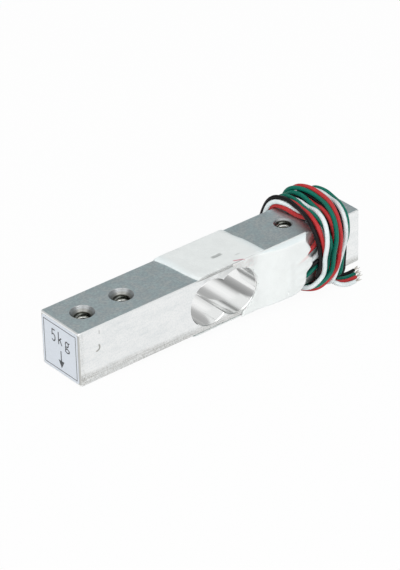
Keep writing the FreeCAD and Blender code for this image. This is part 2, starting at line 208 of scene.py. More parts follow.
# Leads. Each leaves its joint on the board, passes under the turns, goes about four times round the bar and
# ends in front of it. Points are (along the bar, across, up) in millimetres.
lead = {
    "diameter": 1.0,
    "side": -6.87,                         # a lead's line on the bar's side
    "onSide": {                            # along the bar and up, from the board to under the turns
        "red": [(17.0, 1.7), (20.3, 1.4), (23.0, 2.1), (25.6, 3.3)],
        "white": [(17.0, -0.2), (20.3, -0.9), (23.6, -0.4), (26.3, 0.9)],
        "black": [(17.0, -2.0), (20.3, -2.6), (23.0, -1.75), (26.3, -0.2)],
        "green": [(17.0, -3.7), (20.3, -4.1), (23.0, -3.25), (26.6, -1.7)],
    },
    "looseEnd": {
        "red": [(29.6, -6.9, -8.0), (31.3, -7.7, -8.6), (33.4, -8.0, -8.8), (35.4, -7.7, -8.9)],
        "white": [(28.8, -7.9, -7.4), (30.2, -8.8, -8.3), (32.1, -9.3, -8.7), (34.0, -9.0, -8.85)],
        "black": [(30.4, -4.6, -8.2), (32.7, -5.5, -8.6), (35.0, -5.7, -8.9), (37.0, -5.2, -8.98)],
        "green": [(30.0, -5.7, -8.2), (32.0, -6.6, -8.6), (34.2, -6.85, -8.85), (36.1, -6.5, -8.95)],
    },
    # each turn, station by station: along the bar, then how far the lead stands off the bar
    "stations": {"frontTop": 45, "top": 90, "backTop": 135, "back": 180, "backBottom": 225, "under": 270,
                 "frontBottom": 315, "hem": 330, "front": 360},
    "turns": {
        "red": [
            [(26.2, -0.2), (26.2, -0.4), (25.0, 0.1), (24.4, 0.1), (24.7, 0.1), (25.3, 0.1), (25.8, 0.1),
             (25.5, 0.1), (25.6, 0.4)],
            [(25.0, 0.5), (27.2, 0.5), (27.2, 0.5), (25.8, 0.6), (26.8, 0.2), (27.6, 0.1), (27.8, 0.1),
             (28.4, 0.1), (28.8, -0.1)],
            [(28.0, 0.3), (30.2, -0.2), (29.4, 0.1), (28.2, 0.4), (24.6, 0.9), (21.9, 0.8), (24.0, 0.7),
             (29.0, 1.0), (29.6, 1.3)],
            [(29.4, 1.3), (32.1, 1.6), (31.3, 2.0), (29.8, 1.2), (29.4, 0.9), (29.3, 1.0)],
        ],
        "white": [
            [(26.8, -0.2), (26.6, -0.3), (24.8, 0.1), (22.8, 0.3), (22.0, 0.2), (21.6, 0.1), (22.7, 0.0),
             (25.8, 0.5), (25.3, 1.1)],
            [(26.1, 1.2), (28.8, 0.0), (28.6, 0.1), (27.4, 0.4), (28.6, 0.2), (29.8, 0.1), (29.8, 0.1),
             (30.4, 0.1), (30.9, -0.1)],
            [(30.6, 0.6), (33.2, -0.3), (31.8, 0.1), (30.6, 0.2), (29.4, 0.4), (27.9, 0.9), (28.4, 0.2),
             (30.1, 0.1), (31.5, 0.5)],
            [(31.8, 0.9), (35.0, -0.2), (34.2, 0.1), (33.0, 0.2), (31.0, 0.9), (28.4, 1.2)],
        ],
        "black": [
            [(28.6, -0.2), (29.6, -0.4), (28.6, 0.1), (27.6, 0.1), (25.8, 0.1), (24.2, 0.1), (24.8, 0.1),
             (24.9, 0.4), (25.2, 0.7)],
            [(24.1, 0.5), (26.3, 0.6), (25.2, 1.0), (22.8, 0.9), (26.0, 0.9), (28.7, 0.1), (28.8, 0.1),
             (29.4, 0.1), (29.8, -0.1)],
            [(28.5, 0.9), (30.7, 0.9), (30.2, 1.2), (29.8, 0.9), (31.0, 0.2), (31.9, 0.1), (31.8, 0.1),
             (32.3, 0.1), (32.8, -0.1)],
            [(31.8, 0.1), (34.1, -0.4), (33.0, 0.1), (32.0, 0.1), (31.4, 0.3), (31.3, 1.0)],
        ],
        "green": [
            [(27.7, -0.2), (29.4, 0.9), (29.8, 0.9), (27.6, 0.5), (26.2, 0.1), (26.4, 0.1), (26.8, 0.1),
             (27.4, 0.1), (27.9, -0.1)],
            [(26.0, 1.0), (27.7, 0.55), (27.8, 1.2), (25.6, 1.2), (24.0, 0.6), (22.7, 0.1), (23.7, 0.1),
             (28.0, 0.5), (28.1, 0.6)],
            [(28.8, 1.3), (32.2, 0.8), (30.2, 1.6), (29.2, 1.6), (30.0, 0.6), (30.9, 0.1), (30.8, 0.1),
             (31.4, 0.1), (31.9, -0.1)],
            [(32.8, 0.3), (36.0, -0.3), (35.3, 0.1), (34.2, 0.1), (32.6, 0.2), (30.3, 1.0)],
        ],
    },
    "strands": {"count": 7, "length": 1.9, "radius": 0.065, "spread": 0.17, "inside": 0.3, "uneven": 0.12,
                "blunt": 0.6, "steps": 6, "sides": 8,
                "copper": colour(0.60, 0.52, 0.42), "tin": colour(0.74, 0.74, 0.72)},
    "swell": 1.014,                        # the spline runs this much inside its points
    "measuring": 12,                       # steps between two points, for the length
    "tints": {"red": colour(0.50, 0.036, 0.038), "white": colour(0.76, 0.82, 0.83),
              "black": colour(0.006, 0.005, 0.006), "green": colour(0.003, 0.155, 0.108)},
}
settling = {"steps": 500, "gap": 0.94, "fromBar": 0.53, "skip": 14, "perSpan": 4, "still": 0.99,
            "search": 5.0, "renew": 8,     # how near counts as near, squared, and how often that is looked up
            "level": 0.8, "pull": 2, "smoothing": [(0.6, 0.4), (0.85, 0.15), (1.0, 0.05)]}


def leadRoute(tone):                       # the route's points, and which of them stay where they are
    radius = lead["diameter"] / 2
    corner = halfWidth * math.sqrt(2) + radius
    seen = []
    for turn, row in enumerate(lead["turns"][tone]):
        for angle, (x, lift) in zip(lead["stations"].values(), row):
            tilt = abs((angle + 45) % 90 - 45)
            contact = min((halfWidth + radius) / math.cos(math.radians(tilt)), corner)
            seen.append((360 * turn + angle, x, contact + lift))
    angles, xs, reaches = np.array(seen).T
    points = []
    for i in range(len(seen) - 1):
        for t in (0.0, 0.5):
            values = []
            for v in (xs, reaches):
                a, b, c, d = v[max(i - 1, 0)], v[i], v[i + 1], v[min(i + 2, len(v) - 1)]
                bend = 2 * a - 5 * b + 4 * c - d + t * (3 * b - a - 3 * c + d)
                values.append(b + 0.5 * t * (c - a + t * bend))
            angle = math.radians(angles[i] + (angles[i + 1] - angles[i]) * t)
            reach = values[1] * lead["swell"]
            points.append((values[0], -reach * math.cos(angle), reach * math.sin(angle)))
    start = [(x, lead["side"], z) for x, z in lead["onSide"][tone]]
    end = lead["looseEnd"][tone]
    fixed = np.zeros(len(start) + len(points) + len(end), bool)
    fixed[:len(start) - 1] = fixed[-len(end):] = True
    return np.array(start + points + end), fixed


def splineWeights(count, perSpan):         # what each point adds to places along its quadratic spline
    knots = np.concatenate([[0, 0], np.arange(count - 1), [count - 2, count - 2]]).astype(float)
    places = np.linspace(0, count - 2, (count - 2) * perSpan + 1)
    places[-1] -= 1e-9
    weights = np.zeros((len(places), count))
    for row, u in enumerate(places):
        i = int(u) + 2
        a = (knots[i + 1] - u) / (knots[i + 1] - knots[i])
        left = (knots[i + 1] - u) / (knots[i + 1] - knots[i - 1]) * a
        right = (u - knots[i]) / (knots[i + 2] - knots[i]) * (1 - a)
        weights[row, i - 2:i + 1] = left, 1 - left - right, right
    return weights


def settleLeads(s):                        # moves the turns off each other, off the bar and off the floor
    tones = list(lead["turns"])
    routes, fixed = zip(*(leadRoute(tone) for tone in tones))
    points = [route.copy() for route in routes]
    weights = [splineWeights(len(route), s["perSpan"]) for route in routes]
    shares = [w.T / (w.sum(0)[:, None] + 1e-9) for w in weights]
    owner = np.concatenate([np.full(len(w), i) for i, w in enumerate(weights)])
    order = np.concatenate([np.arange(len(w)) for w in weights])
    apart = (owner[:, None] != owner) | (abs(order[:, None] - order) >= s["skip"])
    apart &= np.triu(np.ones_like(apart))
    for step in range(s["steps"]):
        late = step / s["steps"]
        lines = [w @ p for w, p in zip(weights, points)]
        line = np.concatenate(lines)
        along = np.concatenate([np.gradient(l, axis=0) for l in lines])
        span = np.linalg.norm(along, axis=1)
        along /= span[:, None]
        if step % s["renew"] == 0:
            near = np.nonzero((((line[:, None] - line) ** 2).sum(-1) < s["search"]) & apart)
        i, j = near
        offset = line[i] - line[j]
        ahead = (offset * along[j]).sum(1)
        offset -= ahead[:, None] * along[j]
        gap = np.linalg.norm(offset, axis=1)
        hit = (abs(ahead) < s["level"] * span[j]) & (gap < s["gap"])
        i, j, offset, gap = i[hit], j[hit], offset[hit], gap[hit]
        part = offset / np.maximum(gap, 1e-3)[:, None] * ((s["gap"] - gap) / 2)[:, None]
        push, count = np.zeros_like(line), np.zeros(len(line))
        for at, way in ((i, part), (j, -part)):
            np.add.at(push, at, way)
            np.add.at(count, at, 1)
        push /= np.sqrt(np.maximum(count, 1))[:, None]
        over = np.abs(line[:, 1:]) - halfWidth
        most = over.max(1, keepdims=True)
        outside = np.hypot(*np.maximum(over, 0).T) + np.minimum(most[:, 0], 0)
        way = np.where(most > 0, np.maximum(over, 0), over == most)
        way = way / np.maximum(np.linalg.norm(way, axis=1, keepdims=True), 1e-6) * np.sign(line[:, 1:])
        push[:, 1:] += way * np.maximum(s["fromBar"] - outside, 0)[:, None]
        push[:, 2] += np.maximum(floorHeight(line[:, 0]) + lead["diameter"] / 2 - line[:, 2], 0)
        first = 0
        for k, route in enumerate(routes):
            move = shares[k] @ push[first:first + len(weights[k])] * s["pull"]
            first += len(weights[k])
            shift = points[k] + np.where(fixed[k][:, None], 0, move) - route
            even = shift.copy()
            even[1:-1] = (shift[:-2] + 2 * shift[1:-1] + shift[2:]) / 4
            shift += (even - shift) * next(share for until, share in s["smoothing"] if late < until)
            if late < s["smoothing"][0][0]:
                shift *= s["still"]
            shift[fixed[k]] = 0
            points[k] = route + shift
    print("leads settled, nearest lines", round(float(gap.min()), 2), "mm apart")
    return dict(zip(tones, points))


def insulation(tone):
    f = Finish(tone + "_insulation")
    point, *_ = f.place()
    fine = f.cloud(point, 2.5, detail=3.0)
    tint = lead["tints"][tone]
    worn = f.blend(f.cloud(point, 0.6).between(0.35, 0.75, 0.0, 0.35), tint, shaded(tint, 0.72))
    return f.shade(Base_Color=worn, Roughness=fine.between(0.3, 0.7, 0.2, 0.3), Specular_IOR_Level=0.18,
                   Normal=f.relief(fine, 0.01, 0.4))


def strandMesh(route, s):                  # a lead's bared end: strands round a middle one, slightly spread
    end = Vector(route[-1])
    way = (end - Vector(route[-2])).normalized()
    side = way.orthogonal().normalized()
    around = s["count"] - 1
    points, faces = [], []
    for strand in range(s["count"]):
        angle = 2 * math.pi * strand / around
        out = (side * math.cos(angle) + way.cross(side) * math.sin(angle)) * (0.0 if strand == around else 1.0)
        length = s["length"] * (1.0 - s["uneven"] * (strand * 5 % s["count"]) / s["count"])
        spread = s["spread"] * (1 + strand % 3)
        for i in range(s["steps"] + 1):
            t = i / s["steps"]
            middle = end + way * (length * t - s["inside"]) + out * (s["radius"] * 2 + spread * t * t)
            bend = (way + out * (2 * spread * t / length)).normalized()
            u = bend.orthogonal().normalized()
            radius = s["radius"] * (1.0 if i < s["steps"] else s["blunt"])
            ring = [2 * math.pi * j / s["sides"] for j in range(s["sides"])]
            points += [middle + (u * math.cos(k) + bend.cross(u) * math.sin(k)) * radius for k in ring]
            if i:
                last, here = len(points) - 2 * s["sides"], len(points) - s["sides"]
                faces += [(last + j, last + (j + 1) % s["sides"], here + (j + 1) % s["sides"], here + j)
                          for j in range(s["sides"])]
        faces.append(tuple(range(len(points) - s["sides"], len(points))))
    return points, faces


def makeLeads():
    routes = settleLeads(settling)
    f = Finish("tinned_strands")
    point, *_ = f.place()
    worn = f.cloud(point, 3.0)
    tinned = f.shade(Base_Color=f.blend(worn, lead["strands"]["copper"], lead["strands"]["tin"]), Metallic=1.0,
                     Roughness=worn.between(0.3, 0.7, 0.25, 0.4))
    for tone, route in routes.items():
        curve = bpy.data.curves.new(tone + "_lead", "CURVE")
        curve.dimensions = "3D"
        curve.bevel_depth = lead["diameter"] / 2 * mm
        curve.bevel_resolution, curve.resolution_u, curve.use_fill_caps = 5, 6, True
        spline = curve.splines.new("NURBS")
        spline.points.add(len(route) - 1)
        for at, (px, py, pz) in zip(spline.points, route):
            at.co = (px * mm, py * mm, pz * mm, 1.0)
        spline.points[-1].radius = 0.8
        spline.order_u = 3
        spline.use_endpoint_u = True
        curve.materials.append(insulation(tone))
        piece = bpy.data.objects.new(tone + "_lead", curve)
        scene.collection.objects.link(piece)
        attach(piece, "root")
        "insulation_" + tone
        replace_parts(piece, "lead_" + tone, "free_end_" + tone, "wire_winding")
        line = splineWeights(len(route), lead["measuring"]) @ route
        tip = makeMesh("strands_" + tone, *strandMesh(route, lead["strands"]), tinned, "tinned_copper")
        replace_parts(tip, "tip_" + tone)
        tuple(c * mm for c in route[2])
        lead["diameter"] * mm


makeLeads()
print("leads made")


# Floor and light
studio = {
    "floor": 4.0, "floorTone": 0.80, "whitened": 0.95, "backdrop": 0.985, "world": colour(0.90, 0.90, 0.90),
    # the dim part that the top mirrors: its direction, where it starts and is full, and its tone
    "dusk": ((0.60, 0.68, 0.42), 0.55, 0.93, colour(0.245, 0.285, 0.295)),
    # a dimmer belt all round: its height, half its level part, where it ends, and its tone
    "belt": (0.42, 0.12, 0.30, colour(0.36, 0.385, 0.39)),
    # panels round the bore's axis, behind the bar, which its walls mirror: angle and level
    "panels": [(-180, 0.62), (-150, 0.84), (-60, 0.80), (0, 0.60), (22, 0.42), (50, 0.46), (64, 0.58), (76, 0.86),
               (95, 1.0), (114, 0.92), (127, 0.62), (137, 0.28), (148, 0.31), (164, 0.42), (180, 0.62)],
    "panelBelt": (0.667, 0.07, 0.17),
    "lamps": [("front", (-120, -600, 320), 0.6, 1.75), ("left", (-600, -150, 300), 0.5, 1.1),
              ("above", (60, 40, 700), 0.5, 0.55)],      # place, size in metres and watts
}


def makeStudio(s):
    f = Finish("floor")
    paper = f.add("BsdfDiffuse", sockets={"Color": grey(s["floorTone"])})
    white = f.add("Emission", sockets={"Color": grey(1.0), "Strength": 1.0})
    straight = f.add("LightPath", output="Is Camera Ray")
    mirrored = f.add("LightPath", output="Is Glossy Ray")
    seen = straight.atLeast(mirrored) * s["whitened"]
    f.add("OutputMaterial", sockets={"Surface": f.add("MixShader", sockets={0: seen, 1: paper, 2: white})})
    size = s["floor"] / 2 / mm
    points = [(x, y, floorHeight(x)) for x, y in ((-size, -size), (size, -size), (size, size), (-size, size))]
    mesh = bpy.data.meshes.new("floor")
    mesh.from_pydata([tuple(c * mm for c in p) for p in points], [], [(0, 1, 2, 3)])
    mesh.materials.append(f.material)
    floor = bpy.data.objects.new("floor", mesh)
    scene.collection.objects.link(floor)
    world = bpy.data.worlds.new("studio")
    scene.world = world
    world.use_nodes = True
    f = Finish("studio", world.node_tree)
    heading = f.add("TexCoord", output="Generated")
    hx, hy, hz = (f.add("SeparateXYZ", sockets={0: heading}, output=i) for i in range(3))
    height, flat, edge, dim = s["belt"]
    tone = f.blend(abs(hz - height).fades(flat, edge), s["world"], dim)
    middle, outer, inner, shade = s["dusk"]
    toward = f.add("VectorMath", {"operation": "DOT_PRODUCT"},
                   {0: heading, 1: Vector(middle).normalized()}, output="Value")
    tone = f.blend(toward.between(outer, inner), tone, shade)
    around = f.maths("ARCTAN2", hz, hx) / (2 * math.pi) + 0.5
    stops = [(angle / 360 + 0.5, grey(level)) for angle, level in s["panels"]]
    back, flat, edge = s["panelBelt"]
    tone = f.blend(abs(hy - back).fades(flat, edge), tone, f.add("ValToRGB", {"stops": stops}, {0: around}))
    tone = f.blend(f.add("LightPath", output="Is Camera Ray"), tone, grey(s["backdrop"]))
    f.add("OutputWorld", sockets={"Surface": f.add("Background", sockets={"Color": tone, "Strength": 1.0})})
    for name, place, size, power in s["lamps"]:
        data = bpy.data.lights.new(name, "AREA")
        data.size, data.energy = size, power
        lamp = bpy.data.objects.new(name, data)
        lamp.location = Vector(place) * mm
        lamp.rotation_euler = (-lamp.location).to_track_quat("-Z", "Y").to_euler()
        scene.collection.objects.link(lamp)
    scene.view_settings.view_transform = "Standard"


makeStudio(studio)
print("studio made")


# Bar: drawn and sawn aluminium, bored and tapped. Places are along the bar, across it and up, and a pair is
# where a mark starts to show and where it is full or gone.
bar = {
    "sheen": colour(0.91, 0.918, 0.914), "shadedTop": colour(0.68, 0.725, 0.735), "dull": colour(0.46, 0.53, 0.56),
    # the grime colour serves real dirt and also painted shade in the holes, on the bore's edge, under the coat's edge
    # and in the nick
    "greenish": colour(0.92, 1.0, 0.99), "warm": colour(1.0, 0.99, 0.96), "grimeAndShade": colour(0.27, 0.265, 0.235),
    "lobe": 5.2, "lobeOffset": 3.5,
    "holes": [("load", -31.7), ("load_inner", -21.7), ("fixed_inner", 21.7), ("fixed", 31.7)],
    "holeMiddle": 26.7, "holeHalfPitch": 5.0, "holeShade": (1.7, 1.8),
    "sink": 2.65, "sinkShade": colour(0.37, 0.385, 0.39), "turning": 30.0,
    "dirt": {"height": -3.1, "least": -4.6, "fade": (-0.9, 0.25), "end": (-36.9, -36.0)},
    "nickAndShadow": {"along": -33.16, "up": 1.42, "inside": 0.45, "radius": 0.75, "outside": 1.05},     # struck on the side; the dent is real, its dark arc on one side is painted shadow
    "tick": {"along": -32.4, "up": 4.84, "wide": (0.04, 0.16), "high": (0.3, 0.5)},
    # a thin line on top
    "scratch": {"along": -13.95, "across": -1.15, "slope": 0.277, "long": (2.65, 4.15), "wide": (0.04, 0.16)},
    "coatEdgeShadow": {"up": (6.08, 6.2), "from": (-7.6, -6.0), "to": (4.4, 5.6)},     # painted shadow along the coat's edge
    "smear": {"up": (3.6, 5.4), "from": (-6.0, -4.0), "to": (6.0, 9.0)},     # over the bore
    "chamferShade": {"wide": (0.02, 0.1), "up": (5.7, 5.9)},                        # painted shade on the bore's upper and lower edge
    "rings": {"scale": 0.55, "twist": 0.6, "reach": (-10.5, -6.5)},         # left by the tool in the bore
    "matt": {"up": (1.2, 2.6), "along": (5.6, 7.0)},                        # part of the bore's wall
    "thread": {"radius": 1.64, "depth": 0.26, "pitch": 0.7, "below": 1.15, "belowFixed": 0.45, "steps": 40,
               "runOut": 12, "inWall": 0.03,
               # painted shade: the roots, and the crests deeper in the hole, are darker
               "crest": colour(0.92, 0.92, 0.90), "shadedCrest": colour(0.5, 0.51, 0.49),
               "root": colour(0.15, 0.16, 0.14), "rootAt": (1.42, 1.56), "dark": (2.0, 5.5),
               # across the ridge: how far in, and up as a share of the pitch
               "ridge": [(0.0, 0.5), (0.55, 0.24), (1.0, 0.06), (1.0, -0.06), (0.55, -0.24), (0.0, -0.5)]},
}


def fromHoleAxis(b, x, y):
    return ((abs(abs(x) - b["holeMiddle"]) - b["holeHalfPitch"]) ** 2.0 + y * y).root()


def barFinish(b):
    f = Finish("drawn_aluminium")
    point, x, y, z = f.place()
    _, ny, nz = f.facing()
    onTop, onSide = (abs(n).between(0.7, 0.9) for n in (nz, ny))
    onTop = onTop * abs(z).between(halfHeight - 0.3, halfHeight - 0.1)
    front = ny.fades(-0.9, -0.7)
    fromLobe = ((abs(x) - b["lobeOffset"]) ** 2.0 + z * z).root()
    bored = fromLobe.between(b["lobe"] + 0.3, b["lobe"] + 0.06) * (1.0 - onSide)
    fromHole = fromHoleAxis(b, x, y)
    sunk = fromHole.fades(b["sink"] - 0.1, b["sink"] + 0.1) * (1.0 - abs(nz).between(0.97, 0.99))

    drawn = f.cloud(f.stretched(point, (0.06, 1.0, 1.0)), 2.6, detail=6.0, rough=0.62)
    speck = f.cloud(point, 1.7, detail=4.0, rough=0.75)
    fine = f.cloud(point, 3.2, detail=3.0, rough=0.7)
    hue = f.cloud(point, 0.45, detail=3.0)
    smudge = f.cloud(point, 0.22, detail=2.0)
    patches = f.cloud(f.stretched(point, (0.5, 1.0, 1.0)), 0.5, detail=4.0, rough=0.6)
    hatch = f.cloud(f.stretched(point, (1.5, 1.0, 0.8)), 1.9, detail=6.0, rough=0.85, twist=1.2)
    lines = f.cloud(f.stretched(point, (0.03, 1.0, 2.2)), 3.4, detail=3.0, rough=0.7)

    m = b["dirt"]                          # a band low on the sides, level with the floor
    edge = m["height"] + (patches - 0.5) * 1.2 - (x + halfLength) * floorSlope
    low = (z - edge.atLeast(m["least"])).fades(*m["fade"]) * onSide
    dirt = low * (hatch.between(0.42, 0.6) * 0.39 + lines.between(0.45, 0.62) * 0.33 + 0.05)
    dirt = dirt + x.fades(*m["end"]) * hatch.between(0.45, 0.6) * 0.3 * front
    dirt = dirt + (1.0 - low) * onSide * hatch.between(0.56, 0.7) * smudge.between(0.45, 0.6) * 0.16
    m = b["nickAndShadow"]
    dx, dz = x - m["along"], z - m["up"]
    fromNick = (dx * dx + dz * dz).root()
    rim = fromNick.between(m["inside"], m["radius"]) * fromNick.fades(m["radius"], m["outside"])
    nickAndShadow = rim * (dx - dz * 0.5).between(-0.1, 0.5) * front
    m = b["tick"]
    tick = abs(x - m["along"]).fades(*m["wide"]) * abs(z - m["up"]).fades(*m["high"]) * front
    m = b["scratch"]
    along = x - m["along"]
    scratch = abs(y - m["across"] - along * m["slope"]).fades(*m["wide"])
    scratch = scratch * abs(along).fades(*m["long"]) * onTop * z.between(6.0, 6.2)
    m = b["coatEdgeShadow"]
    coatEdgeShadow = z.between(*m["up"]) * ny.fades(-0.9, -0.3) * x.between(*m["from"]) * x.fades(*m["to"])
    m = b["smear"]
    smear = front * z.between(*m["up"]) * x.between(*m["from"]) * x.fades(*m["to"]) * patches.between(0.4, 0.6)
    chamferShade = fromLobe.between(*(b["lobe"] + wide for wide in b["chamferShade"]["wide"]))
    chamferShade = chamferShade * abs(z).fades(*b["chamferShade"]["up"]) * (1.0 - onSide)
    rings = f.add("TexWave", {"wave_type": "BANDS", "bands_direction": "Y"},
                  {"Vector": point, "Scale": b["rings"]["scale"], "Distortion": b["rings"]["twist"], "Detail": 2.0})
    rings = rings * bored * (x + z * 0.6).fades(*b["rings"]["reach"])

    # painted shade: the top face takes a darker copy of the metal than the sides
    tone = f.blend(onTop, b["sheen"], b["shadedTop"])
    tone = f.blend(patches.between(0.42, 0.62, 0.0, 0.3) * onTop, tone, b["dull"])
    tone = f.blend(onTop, tone, f.blend(hue.between(0.42, 0.58), b["warm"], b["greenish"]), how="MULTIPLY")
    tone = f.blend(scratch * drawn.between(0.35, 0.55) * 0.3, tone, b["grimeAndShade"])
    tone = f.blend(speck.between(0.38, 0.62, 0.0, 0.8) * onTop, tone, b["dull"])
    tone = f.blend(fine.between(0.42, 0.62) * (onTop * 0.3 + onSide * 0.17), tone, b["dull"])
    # painted shadow under the coat's front edge, and a real smear over the bore
    tone = f.blend(coatEdgeShadow * 0.8 + smear * 0.25, tone, b["grimeAndShade"])
    streaks = patches.between(0.4, 0.65) * 0.1 + drawn.between(0.5, 0.75) * 0.18
    tone = f.blend(streaks * onSide, tone, b["dull"])
    # painted shade: the countersinks are darker than the rest of the metal
    tone = f.blend(sunk, tone, b["sinkShade"])
    # painted shade on the bore's chamfer
    tone = f.blend(chamferShade * 0.6, tone, b["grimeAndShade"])
    # painted shade: darker inside the tapped holes
    tone = f.blend(fromHole.fades(*b["holeShade"]), tone, b["grimeAndShade"], how="MULTIPLY")
    # real dirt and the tick, with the nick's painted shadow
    tone = f.blend((dirt + nickAndShadow + tick * 0.6).atMost(0.85), tone, b["grimeAndShade"])
    tone = f.blend(rings * 0.26, tone, b["grimeAndShade"])

    matt = z.between(*b["matt"]["up"]) * x.between(*b["matt"]["along"])
    rough = (0.34 + speck * 0.12 + drawn * 0.08) * (1.0 - bored) * (1.0 - sunk)
    rough = rough + (0.13 + rings * 0.1 + matt * 0.2) * bored + sunk * 0.3
    turned = f.maths("SINE", fromHole * b["turning"]) * sunk
    height = speck * onTop * 0.6 + (drawn * 0.6 + hatch * low * 0.5) * onSide + rings * 0.15 + turned * 0.25
    height = height - nickAndShadow * 3.0 - tick * 2.0
    return f.shade(Base_Color=tone, Metallic=1.0, Roughness=rough, Normal=f.relief(height, 0.03, 0.7))


def threadFinish(b):
    t = b["thread"]
    f = Finish("cut_thread")
    point, x, y, z = f.place()
    # painted shade: crests darker deeper in the hole, roots dark
    crest = f.blend(z.fades(*t["dark"]), t["crest"], t["shadedCrest"])
    tone = f.blend(fromHoleAxis(b, x, y).between(*t["rootAt"]), crest, t["root"])
    return f.shade(Base_Color=tone, Metallic=1.0, Roughness=f.cloud(point, 3.0).between(0.3, 0.7, 0.22, 0.32))


def makeThreads(b):
    t = b["thread"]
    material = threadFinish(b)
    wide = len(t["ridge"])
    for name, along in b["holes"]:
        inset = t["below"] if name.startswith("load") else t["belowFixed"]
        turns = 2 * (halfHeight - inset) / t["pitch"] - 1.0
        count = int(turns * t["steps"])
        points, faces = [], []
        for i in range(count + 1):
            turn = i / t["steps"]
            fade = min(1.0, i / t["runOut"], (count - i) / t["runOut"])
            middle = halfHeight - inset - t["pitch"] * (0.5 + turn)
            angle = 2 * math.pi * turn
            for reach, drop in t["ridge"]:
                radius = t["radius"] + t["inWall"] - (t["depth"] + t["inWall"]) * reach * fade
                points.append((along + radius * math.cos(angle), radius * math.sin(angle),
                               middle + drop * t["pitch"]))
            if i:
                last, here = wide * (i - 1), wide * i
                faces += [(last + k, last + k + 1, here + k + 1, here + k) for k in range(wide - 1)]
        makeMesh("thread_" + name, points, faces, material, "aluminium")


dress("spring_element", barFinish(bar))
makeThreads(bar)
print("bar finished")


# Label on the loaded end: a plain frame, the capacity and the direction of load
label = {
    "face": -37.6, "stand": 0.006, "line": 0.18, "stroke": 0.3,
    "frame": (5.25, 5.1),                   # half its width and height
    "paper": colour(0.70, 0.74, 0.80), "ink": colour(0.05, 0.053, 0.06),
    # points are across, to the right as it is read, and up
    "strokes": [
        [(-1.6, 3.7), (-2.48, 3.7), (-2.56, 2.48), (-2.2, 2.7), (-1.84, 2.56), (-1.6, 2.14), (-1.6, 1.56),
         (-1.86, 1.14), (-2.22, 1.04), (-2.6, 1.34)],
        [(-0.42, 3.86), (-0.42, 0.96)],
        [(0.5, 2.68), (-0.4, 1.84)],
        [(0.0, 2.2), (0.62, 0.96)],
        [(2.78, 2.36), (3.16, 2.7)],
        [(1.86, 1.5), (1.8, 1.12), (2.64, 0.98), (3.05, 0.72), (2.98, 0.34), (2.38, 0.12), (1.8, 0.32),
         (1.8, 0.7), (2.1, 0.98)],
        [(0.18, -0.4), (0.2, -3.1)],
    ],
    "bowl": (2.3, 2.06, 0.48, 0.58), "bowlSteps": 16,       # centre, half width and half height
    "head": [(-0.75, -2.75), (1.15, -2.75), (0.22, -4.5)],
}


def inkMesh(l):
    points, faces = [], []
    plane = l["face"] - l["stand"]

    def stroke(path, width, closed=False):
        path = [Vector(p) for p in path]
        first, n = len(points), len(path)
        for i, at in enumerate(path):
            back = path[i - 1] if i or closed else None
            ahead = path[(i + 1) % n] if i < n - 1 or closed else None
            ends = [(a, b) for a, b in ((back, at), (at, ahead)) if a is not None and b is not None]
            legs = [(b - a).normalized() for a, b in ends]
            way = sum(legs, Vector((0.0, 0.0))).normalized()
            across = Vector((-way.y, way.x)) * width / 2 / max(way.dot(legs[0]), 0.5)
            for sign in (1, -1):
                u, v = at + across * sign
                points.append((plane, -u, v))
        for i in range(n if closed else n - 1):
            a, b = first + 2 * i, first + 2 * ((i + 1) % n)
            faces.append((a, b, b + 1, a + 1))

    w, h = l["frame"]
    stroke([(-w, -h), (w, -h), (w, h), (-w, h)], l["line"], closed=True)
    for path in l["strokes"]:
        stroke(path, l["stroke"])
    cx, cz, rx, rz = l["bowl"]
    turn = [2 * math.pi * i / l["bowlSteps"] for i in range(l["bowlSteps"])]
    stroke([(cx + rx * math.cos(t), cz + rz * math.sin(t)) for t in turn], l["stroke"], closed=True)
    faces.append(tuple(range(len(points), len(points) + 3)))
    points.extend((plane, -u, v) for u, v in l["head"])
    return points, faces


def makeLabel(l):
    f = Finish("label_paper")
    point, *_ = f.place()
    grain = f.cloud(point, 2.0, detail=5.0, rough=0.7)
    tone = f.blend(grain.between(0.35, 0.7, 0.0, 0.5), l["paper"], shaded(l["paper"], 0.9))
    dress("end_label", f.shade(Base_Color=tone, Roughness=grain.between(0.3, 0.7, 0.38, 0.5),
                               Normal=f.relief(grain, 0.01, 0.3)))
    f = Finish("label_ink")
    point, *_ = f.place()
    patchy = f.cloud(point, 5.0, detail=4.0, rough=0.7)
    tone = f.blend(patchy.between(0.45, 0.7, 0.0, 0.7), l["ink"], shaded(l["ink"], 2.4))
    ink = f.shade(Base_Color=tone, Roughness=0.5)
    makeMesh("label_print", *inkMesh(l), ink, "label", smooth=False)


makeLabel(label)
print("label made")


